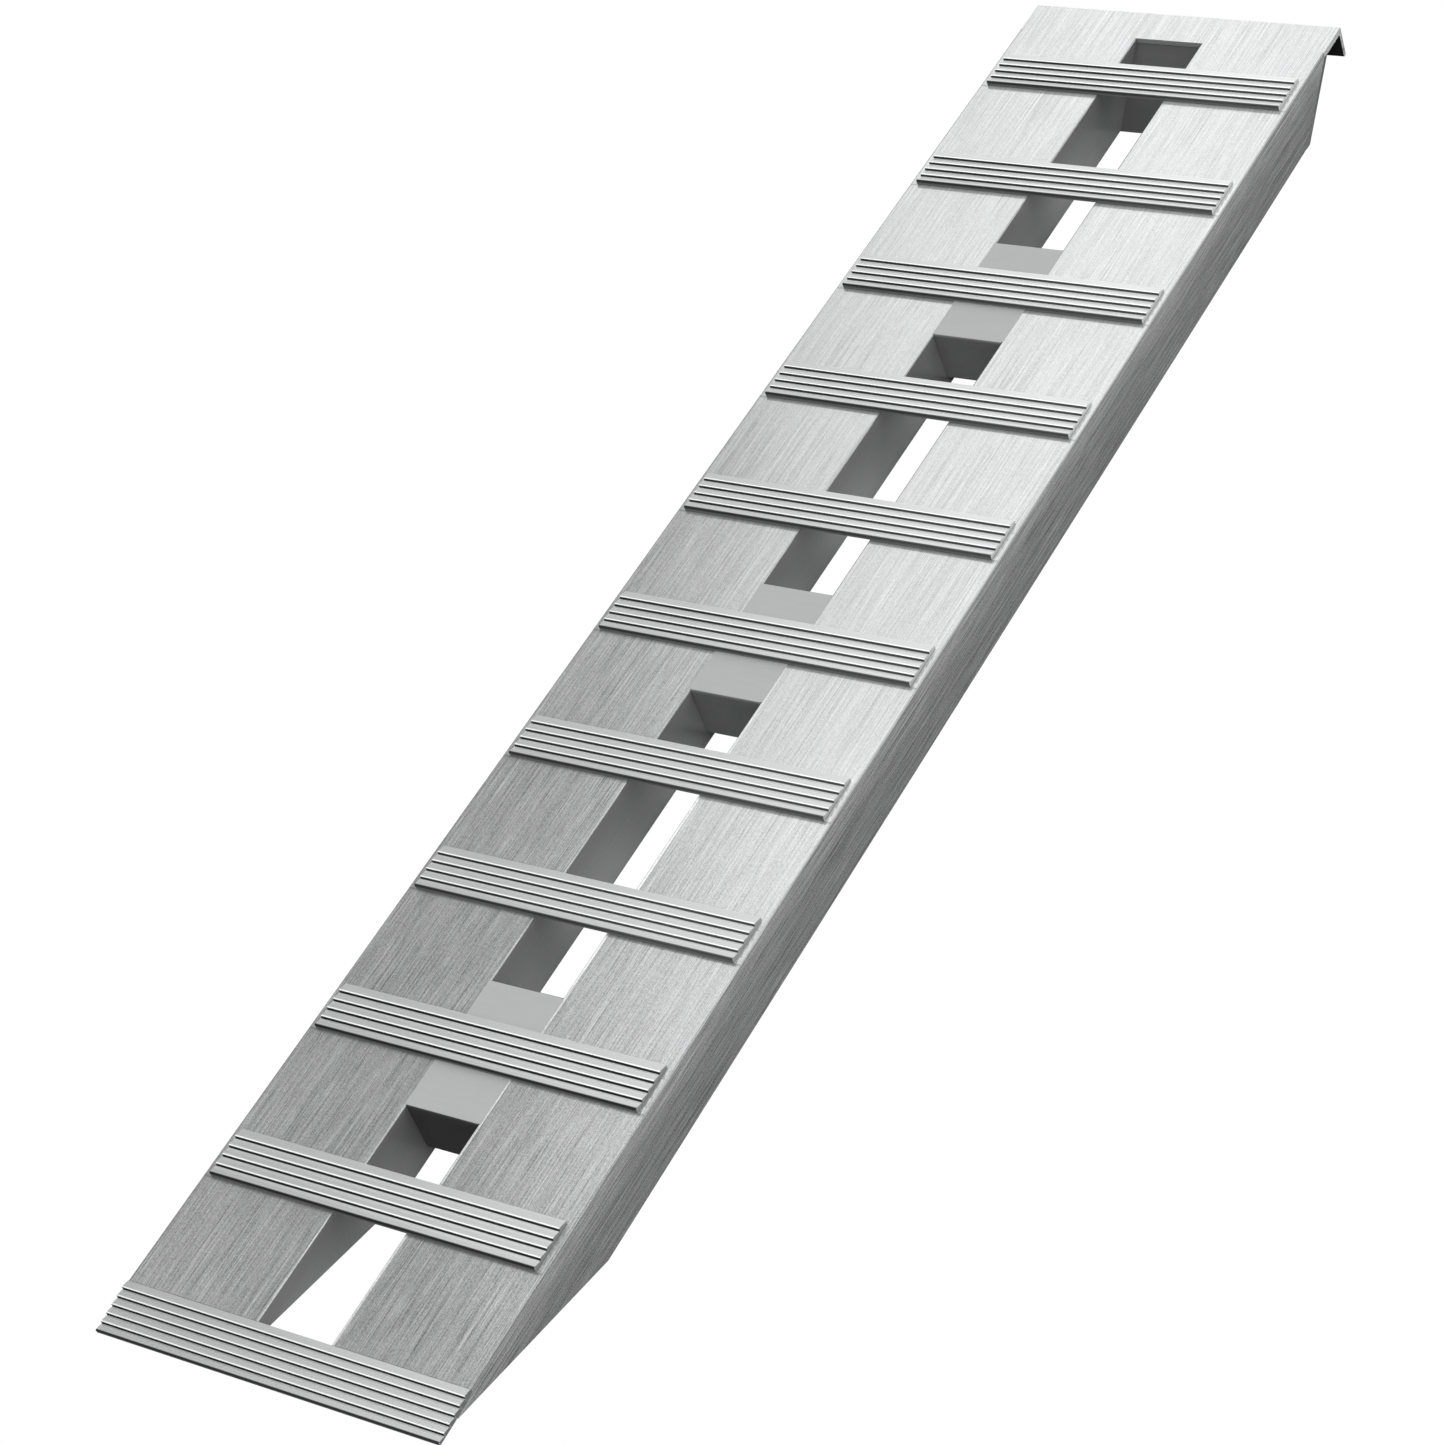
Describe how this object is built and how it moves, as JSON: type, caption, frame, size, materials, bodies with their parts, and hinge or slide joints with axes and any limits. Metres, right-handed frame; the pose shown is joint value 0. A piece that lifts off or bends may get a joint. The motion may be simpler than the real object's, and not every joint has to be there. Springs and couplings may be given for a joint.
{
  "type": "loading ramp",
  "caption": "Rigid welded aluminium loading ramp with serrated treads, an open middle slot, a tapered toe and a hook lip that seats on a trailer edge.",
  "frame": {"origin": "middle of the ramp's length and width, on the plane that the rails' feet stand on", "axes": "+X across the ramp to the right looking up it, +Y up the ramp towards the hook, +Z out of the deck"},
  "size_m": [0.3556, 1.8288, 0.0721],
  "materials": {
    "rail_aluminium": "brushed along the ramp",
    "hook_aluminium": "brushed along the ramp",
    "tread_aluminium": "smooth extruded, bright crests and dark steps",
    "plate_aluminium": "matt mill finish"
  },
  "bodies": {
    "root": {"left_rail": "rail_aluminium", "right_rail": "rail_aluminium", "hook_plate": "hook_aluminium", "top_end_plate": "plate_aluminium", "toe_plate": "tread_aluminium", "tread_01": "tread_aluminium", "tread_02": "tread_aluminium", "tread_03": "tread_aluminium", "tread_04": "tread_aluminium", "tread_05": "tread_aluminium", "tread_06": "tread_aluminium", "tread_07": "tread_aluminium", "tread_08": "tread_aluminium", "tread_09": "tread_aluminium", "tread_10": "tread_aluminium", "cross_member_upper": "plate_aluminium", "cross_member_middle": "plate_aluminium", "cross_member_lower": "plate_aluminium"}
  },
  "joints": []
}
